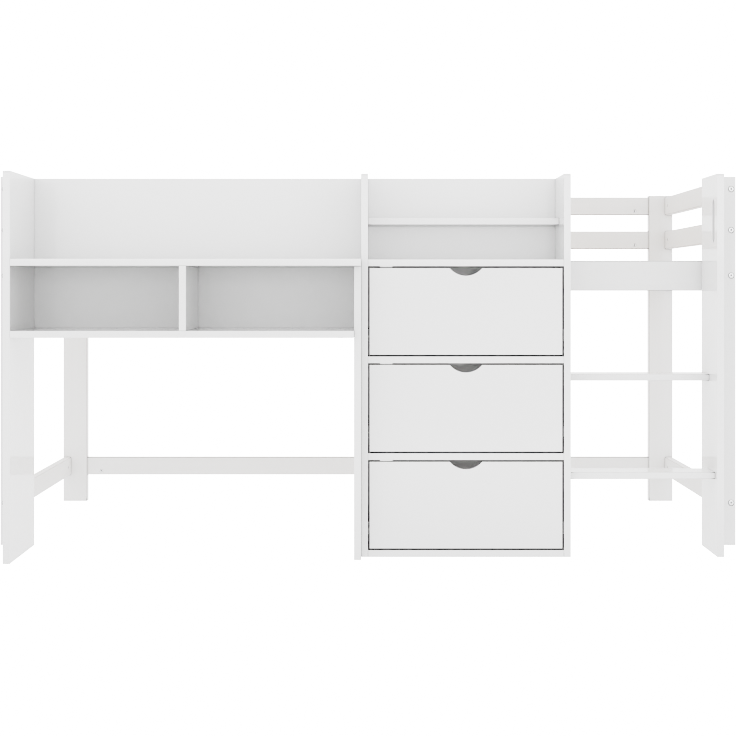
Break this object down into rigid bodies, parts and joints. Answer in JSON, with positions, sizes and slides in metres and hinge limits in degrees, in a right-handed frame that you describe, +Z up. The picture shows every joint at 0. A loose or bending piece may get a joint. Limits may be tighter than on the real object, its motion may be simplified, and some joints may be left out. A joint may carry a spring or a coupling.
{
  "type": "loft bed with desk",
  "caption": "Low loft bed: board posts and rails, slatted platform, desk ledge with cubbies, inset drawers, open shelf and a stepped ladder bay with a hand-hold.",
  "frame": {"origin": "centre of the bounding box, on the floor", "axes": "+X along the bed towards the ladder bay, -Y is the front with the desk and drawers, +Z up"},
  "size_m": [2.007, 1.4, 1.005],
  "materials": {
    "white_pine": "satin white paint over pine",
    "white_board": "satin white faced board",
    "bare_pine": "planed bare pine with woven webbing",
    "drawer_base": "white faced thin fibreboard",
    "runner_steel": "white powder-coated steel"
  },
  "bodies": {
    "bed_frame": {"bottom_drawer_left_runner": "runner_steel", "bottom_drawer_right_runner": "runner_steel", "cabinet_back_panel": "white_board", "cabinet_bottom_board": "white_board", "cabinet_left_side": "white_board", "cabinet_lower_divider": "white_board", "cabinet_right_side": "white_board", "cabinet_small_shelf": "white_board", "cabinet_top_board": "white_board", "cabinet_upper_divider": "white_board", "desk_back_panel": "white_board", "desk_cubby_divider": "white_board", "desk_cubby_floor": "white_board", "desk_left_side": "white_board", "desk_right_upright": "white_board", "desk_top": "white_board", "front_left_post": "white_pine", "front_right_post": "white_pine", "front_side_rail": "white_pine", "front_slat_ledger": "white_pine", "ladder_side_board": "white_board", "left_end_low_rail": "white_pine", "left_end_lower_guard_rail": "white_pine", "left_end_platform_rail": "white_pine", "left_end_upper_guard_rail": "white_pine", "left_slat_roll": "bare_pine", "lower_step": "white_board", "middle_drawer_left_runner": "runner_steel", "middle_drawer_right_runner": "runner_steel", "rear_left_post": "white_pine", "rear_low_rail": "white_pine", "rear_lower_guard_rail": "white_pine", "rear_right_post": "white_pine", "rear_side_rail": "white_pine", "rear_slat_ledger": "white_pine", "rear_upper_guard_rail": "white_pine", "right_end_low_rail": "white_pine", "right_end_lower_guard_rail": "white_pine", "right_end_platform_rail": "white_pine", "right_end_upper_guard_rail": "white_pine", "right_slat_roll": "bare_pine", "top_drawer_left_runner": "runner_steel", "top_drawer_right_runner": "runner_steel", "upper_step": "white_board"},
    "top_drawer": {"top_drawer_back": "white_board", "top_drawer_bottom": "drawer_base", "top_drawer_front": "white_board", "top_drawer_left_side": "white_board", "top_drawer_right_side": "white_board"},
    "middle_drawer": {"middle_drawer_back": "white_board", "middle_drawer_bottom": "drawer_base", "middle_drawer_front": "white_board", "middle_drawer_left_side": "white_board", "middle_drawer_right_side": "white_board"},
    "bottom_drawer": {"bottom_drawer_back": "white_board", "bottom_drawer_bottom": "drawer_base", "bottom_drawer_front": "white_board", "bottom_drawer_left_side": "white_board", "bottom_drawer_right_side": "white_board"}
  },
  "joints": [
    {"name": "top_drawer_slide", "type": "slide", "parent": "bed_frame", "child": "top_drawer", "axis": [0, -1, 0], "range_m": [0, 0.14]},
    {"name": "middle_drawer_slide", "type": "slide", "parent": "bed_frame", "child": "middle_drawer", "axis": [0, -1, 0], "range_m": [0, 0.14]},
    {"name": "bottom_drawer_slide", "type": "slide", "parent": "bed_frame", "child": "bottom_drawer", "axis": [0, -1, 0], "range_m": [0, 0.14]}
  ]
}
